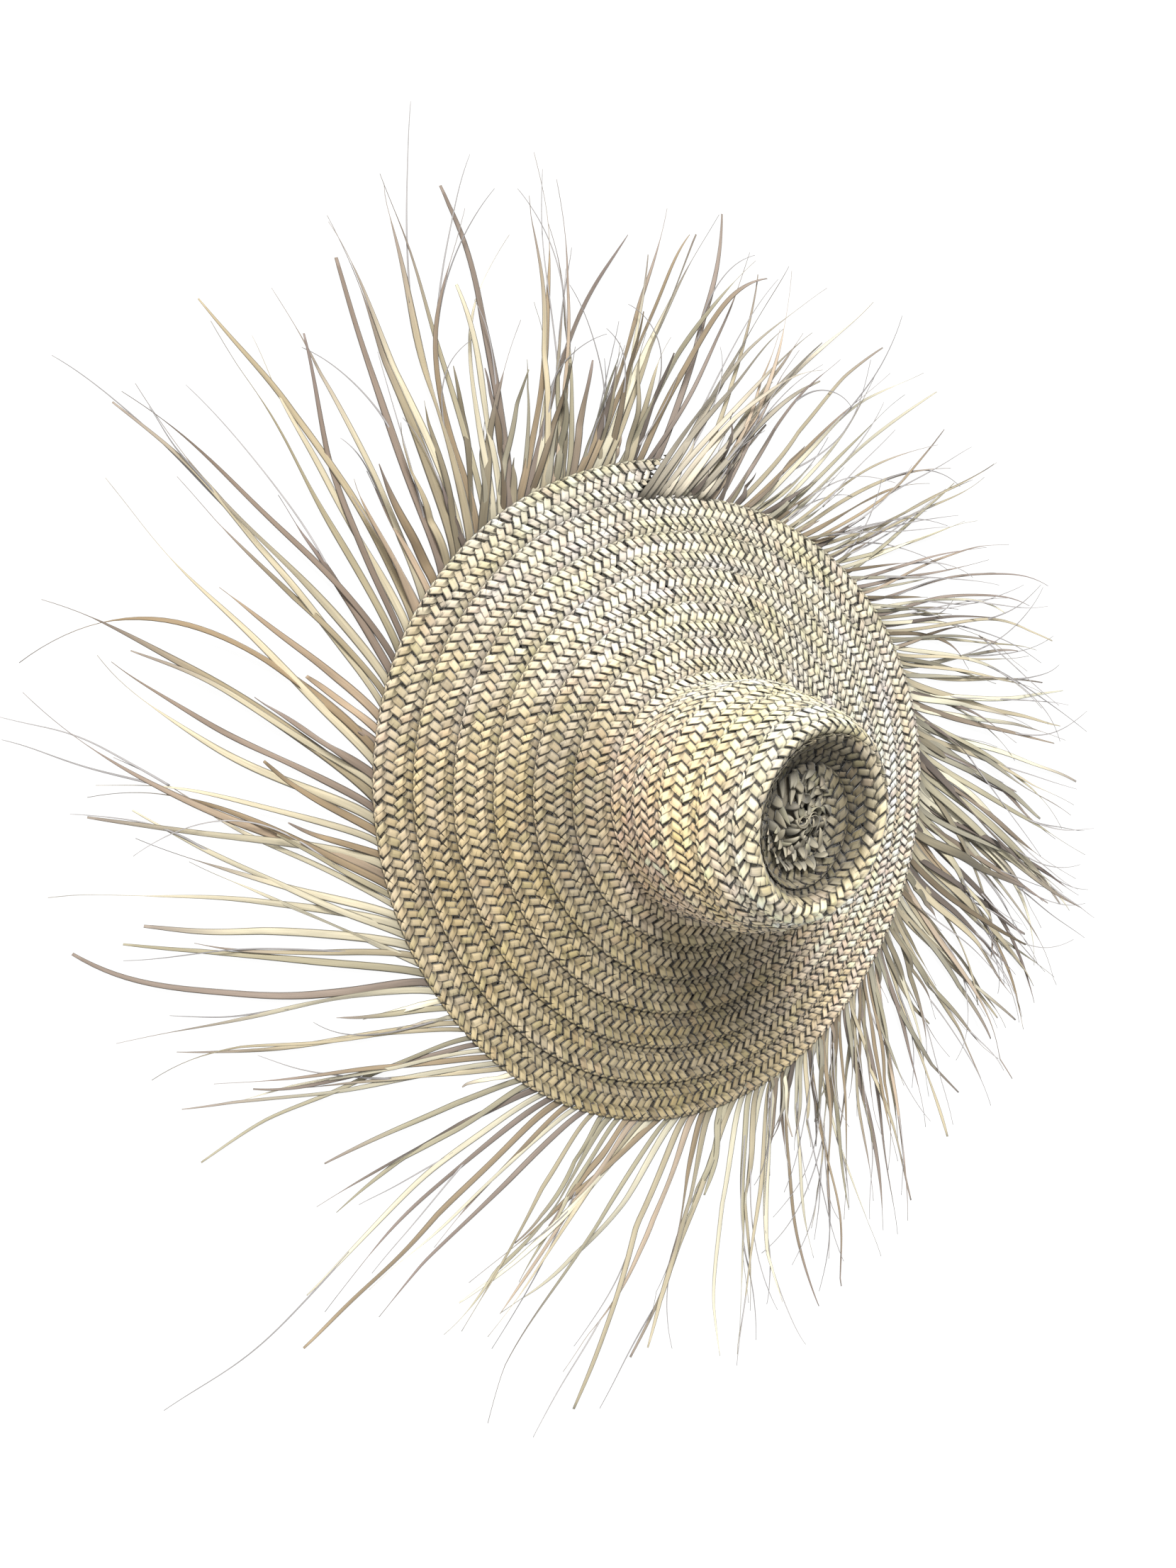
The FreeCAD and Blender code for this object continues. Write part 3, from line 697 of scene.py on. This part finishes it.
# Fine splinters, which have split from the leaves
HAIRS = 150
chosen = np.sort(random.choice(count, HAIRS, replace=True))
at = random.integers(int(0.2 * SAMPLES), int(0.85 * SAMPLES), HAIRS)
hair_start = path[chosen, at]
hair_way = way[chosen, at] + np.radians(random.normal(0, 7, HAIRS))
hair_turn = np.radians(random.normal(0, 30, (HAIRS, 1))) * t**1.4 + waves((HAIRS, SAMPLES), 3, 0.12) * t
hair_length = random.uniform(0.05, 0.15, HAIRS)
hair_half = np.broadcast_to(0.0006 * (1 - t) + 0.0002, (HAIRS, SAMPLES))
hair_height = hair_start[:, 2:3] + random.uniform(0, 0.012, (HAIRS, 1)) * t
no_twist = np.zeros((HAIRS, SAMPLES))
for _ in range(6):
    hairs, hair_path, _ = free_leaves(
        hair_start, hair_way, hair_turn, hair_length, hair_half, hair_height, no_twist
    )
    reach = np.abs(hair_path[..., :2]).max((1, 2))
    hair_length = hair_length * np.where(reach > FRINGE_LIMIT, 0.6, 1)
hair_tone = np.array([0.42, 0.40, 0.40]) * random.uniform(0.75, 1.2, (HAIRS, 1, 1))
hair_tone = np.broadcast_to(hair_tone, (HAIRS, SAMPLES, 3))

leaf_parts = leaf_pieces(rings, leaf_tone, lengths, 0.6)
hair_parts = leaf_pieces(hairs, hair_tone, hair_length, 0.1)
fringe_nodes = sorted(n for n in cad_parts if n.startswith("fringe_"))
centres = []
for node in fringe_nodes:
    low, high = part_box(node)
    centres.append(math.atan2(low.y + high.y, low.x + high.x))
# A leaf's tip lies clockwise of its root, so the sector is the nearest to a point half way along
half_way = np.arctan2(path[:, SAMPLES // 2, 1], path[:, SAMPLES // 2, 0])
apart = np.abs((half_way[:, None] - np.array(centres) + math.pi) % TURN - math.pi)
sector = apart.argmin(1)
for i, node in enumerate(fringe_nodes):
    own, hair = sector == i, sector[chosen] == i
    parts = [np.concatenate([a[own], b[hair]]) for a, b in zip(leaf_parts, hair_parts)]
    new_mesh(f"leaves_{i + 1:02d}", *parts, "fringe_leaf", node)


# ---------------------------------------------------------------- the sunken middle of the tip
def scales(name, node, s, azimuth, lengths, widths, lifts, skew, tone):
    """Folded leaf ends that stand up from the profile as pointed scales.

    They start at arc length s and point towards the middle, or outwards where their length is negative.
    """
    n, m = len(s), 9
    u = np.linspace(0, 1, m)[None]
    half = widths[:, None] / 2 * np.clip(1 - u**2.2, 0, 1) ** 0.75 + 0.00015
    height = lifts[:, None] * np.sin(u * 1.9) / math.sin(1.9) + 0.0008
    along = s[:, None] - lengths[:, None] * u
    r, z = on_profile(along, height)
    turned = azimuth[:, None] + skew[:, None] * u * lengths[:, None] / np.maximum(r, 0.004)
    across = LEAF_COLUMNS * half[..., None] / np.maximum(r, 0.003)[..., None]
    lift = LEAF_FOLD * 0.30 * half[..., None] - LEAF_SKIN
    angle = turned[..., None] + np.clip(across, -0.9, 0.9)
    r3, z3 = r[..., None] * np.ones(6), z[..., None] + lift
    rings = settle(np.stack([r3 * np.cos(angle), r3 * np.sin(angle), z3], -1))
    # Painted shade at each scale's root, where it comes out from under the others, lighter towards its raised
    # point
    tones_with_root_shade = tone[:, None, :] * (0.30 + 0.85 * u)[..., None]
    new_mesh(name, *leaf_pieces(rings, tones_with_root_shade, lengths, 0.6), "tip_plait", node)


def tip_tones_with_shade(n):
    """The tip is greyer and darker than the rest of the hat: partly its own colour, partly painted shade in
    the sunken hollow.
    """
    return np.array([0.40, 0.37, 0.29]) * strip_tones(n) * random.normal(1, 0.08, (n, 1))


# A spiral of folded ends that point inwards
PETALS = 50
place_in = np.linspace(0, 1, PETALS)
petal_s = 0.0075 + 0.0255 * place_in**0.7 + random.normal(0, 0.0012, PETALS)
petal_azimuth = TURN * (0.25 * np.arange(PETALS) * (1.15 - 0.55 * place_in)) + random.normal(0, 0.15, PETALS)
petal_lengths = random.uniform(0.007, 0.011, PETALS)
petal_widths = random.uniform(0.0055, 0.0085, PETALS)
petal_lifts = random.uniform(0.0020, 0.0055, PETALS)
petal_skews = random.normal(0.5, 0.35, PETALS)
petal_tones = tip_tones_with_shade(PETALS)

# Two rows of pointed ends on one side point outwards instead
OUTER_JAGS, INNER_JAGS = 14, 9
JAGS = OUTER_JAGS + INNER_JAGS
row_s = np.where(np.arange(JAGS) < OUTER_JAGS, 0.0310, 0.0195)
jag_s = row_s + random.normal(0, 0.0008, JAGS)
row_degrees = np.concatenate([np.linspace(190, 312, OUTER_JAGS), np.linspace(192, 300, INNER_JAGS)])
jag_azimuth = np.radians(row_degrees + random.normal(0, 1.5, JAGS))
jag_lengths = -random.uniform(0.0075, 0.0115, JAGS)
jag_widths = random.uniform(0.0056, 0.0074, JAGS)
jag_lifts = random.uniform(0.0030, 0.0058, JAGS)
jag_skews = random.normal(0, 0.25, JAGS)
jag_tones = tip_tones_with_shade(JAGS) * 1.2
petals = petal_s, petal_azimuth, petal_lengths, petal_widths, petal_lifts, petal_skews, petal_tones
jags = jag_s, jag_azimuth, jag_lengths, jag_widths, jag_lifts, jag_skews, jag_tones
scales("tip_rosette", "tip_loops", *(np.concatenate(pair) for pair in zip(petals, jags)))

# Curled ends that stand in the very middle, and below them a dark bed, a sheet of painted shade under the
# scales
CURLS, CURL_RINGS = 9, 14
u = np.linspace(0, 1, CURL_RINGS)[None]
curl_at = np.stack([random.normal(0.006, 0.0045, CURLS), random.normal(-0.001, 0.0055, CURLS)], 1)
radius = random.uniform(0.0024, 0.0046, (CURLS, 1)) * (1 - 0.35 * u)
angle = random.uniform(0, TURN, (CURLS, 1)) + u * random.uniform(3.0, 5.0, (CURLS, 1))
base = np.stack([curl_at[:, :1] + radius * np.cos(angle), curl_at[:, 1:] + radius * np.sin(angle)], -1)
tall = random.uniform(0.0055, 0.0085, (CURLS, 1)) * (0.7 + 0.3 * np.sin(math.pi * u))
outward = np.stack([np.cos(angle), np.sin(angle)], -1)
foot = float(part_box("centre_knot")[0].z) + THICK
edge = np.array([0, 0, 1, 1, 1, 0])  # the columns at a curl's upper edge
skin = np.array([0.5, 0.5, 0.5, -0.5, -0.5, -0.5]) * LEAF * 1.2
flat = base[:, :, None] + outward[:, :, None] * (skin + 0.2 * edge * tall[..., None])[..., None]
level = foot + 0.0015 + tall[..., None] * edge * np.array([1, 1, 0.96, 1, 0.96, 1])
curls = settle(np.concatenate([flat, level[..., None]], -1))
BED_RADIUS, BED_SIDES = 0.034, 24
ring = TURN * np.arange(BED_SIDES) / BED_SIDES
bed = np.stack([BED_RADIUS * np.cos(ring), BED_RADIUS * np.sin(ring), np.full(BED_SIDES, foot - 0.0022)], -1)
bed = settle(np.stack([bed, bed + (0, 0, 0.0008)])[None])
# Painted shade: a near-black sheet under the middle of the tip, seen between the scales
new_mesh("tip_shade_bed", bed, np.array([0.16, 0.14, 0.10]), ring * 9, ring * 9, "tip_plait", "centre_knot")
curl_tone = np.broadcast_to((tip_tones_with_shade(CURLS) * 1.15)[:, None], (CURLS, CURL_RINGS, 3))
new_mesh("tip_curls", *leaf_pieces(curls, curl_tone, np.full(CURLS, 0.02), 0.6), "tip_plait", "centre_knot")


# ---------------------------------------------------------------- floor, light and camera
def lamp(name, kind, place_at, aim, energy, size, colour=(1, 1, 1)):
    """A round area light of that size, or a sun of that angle."""
    data = bpy.data.lights.new(name, kind)
    data.energy = energy
    data.color = colour
    if kind == "AREA":
        data.shape = "DISK"
        data.size = size
    else:
        data.angle = size
    ob = bpy.data.objects.new(name, data)
    ob.location = place_at
    ob.rotation_euler = (Vector(aim) - Vector(place_at)).to_track_quat("-Z", "Y").to_euler()
    bpy.context.scene.collection.objects.link(ob)


lamp("key", "SUN", (-0.42, 1.12, 1.20), (0, 0, 0), 3.6, math.radians(20), (1, 0.985, 0.95))
lamp("fill", "AREA", (-1.7, 0.5, 1.2), (0, 0, 0.05), 9, 1.4)
world = bpy.data.worlds.new("studio")
bpy.context.scene.world = world
world.use_nodes = True
world.node_tree.nodes["Background"].inputs["Color"].default_value = (1, 1, 1, 1)
world.node_tree.nodes["Background"].inputs["Strength"].default_value = 0.42
bpy.context.scene.view_settings.view_transform = "Standard"


def stage_sheet(name, corners, height, grey, rough, shine, glow):
    """A flat sheet that belongs to the scene and not to the hat."""
    mesh = bpy.data.meshes.new(name)
    mesh.from_pydata([tuple(corner) for corner in corners], [], [tuple(range(len(corners)))])
    paint = bpy.data.materials.new(name + "_paint")
    paint.use_nodes = True
    shader = paint.node_tree.nodes["Principled BSDF"]
    shader.inputs["Base Color"].default_value = (*grey, 1)
    shader.inputs["Roughness"].default_value = rough
    shader.inputs["Specular IOR Level"].default_value = shine
    shader.inputs["Emission Color"].default_value = (1, 1, 1, 1)
    shader.inputs["Emission Strength"].default_value = glow
    mesh.materials.append(paint)
    ob = bpy.data.objects.new(name, mesh)
    bpy.context.scene.collection.objects.link(ob)
    ob.location.z = height


FLOOR = 30  # from the middle to its sides
floor_corners = [(-FLOOR, -FLOOR, 0), (FLOOR, -FLOOR, 0), (FLOOR, FLOOR, 0), (-FLOOR, FLOOR, 0)]
stage_sheet("floor", floor_corners, -0.0005, (0.15, 0.15, 0.15), rough=0.9, shine=0, glow=0.92)

# A dark sheet just inside the brim's outline keeps the floor from shining through the plait. It draws back at
# the step, where it would show
lag = np.linspace(0, TURN, 500)
inset = 0.004 + 0.025 * np.exp(-((lag / 0.022) ** 2))
spiral = on_profile(LENGTH - PITCH * lag / TURN, 0)[0] - inset
bearing = END_AZIMUTH + lag
under_brim = settle(np.stack([spiral * np.cos(bearing), spiral * np.sin(bearing), 0 * lag], -1))
stage_sheet("shade", under_brim.tolist(), -0.0003, (0.05, 0.045, 0.04), rough=0.5, shine=0.5, glow=0)

# The camera's place is given in brim radii from the hat's origin
CAMERA_AT = Vector((-1.9429, 0.2521, 2.9211))
FORWARD = Vector((0.4807, -0.0607, -0.8748))
SIDEWAYS = Vector((0.8763, -0.0009, 0.4817))
LENS = 27.03  # focal length in millimetres
edge_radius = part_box("brim_edge_turn")[1].y / math.sin(END_AZIMUTH)
forward = FORWARD.normalized()
right = (SIDEWAYS - SIDEWAYS.dot(forward) * forward).normalized()
camera_data = bpy.data.cameras.new("camera")
camera_data.lens = LENS
camera = bpy.data.objects.new("camera", camera_data)
camera.matrix_world = Matrix((right, right.cross(forward), -forward)).transposed().to_4x4()
camera.location = CAMERA_AT * edge_radius
bpy.context.scene.collection.objects.link(camera)
bpy.context.scene.camera = camera
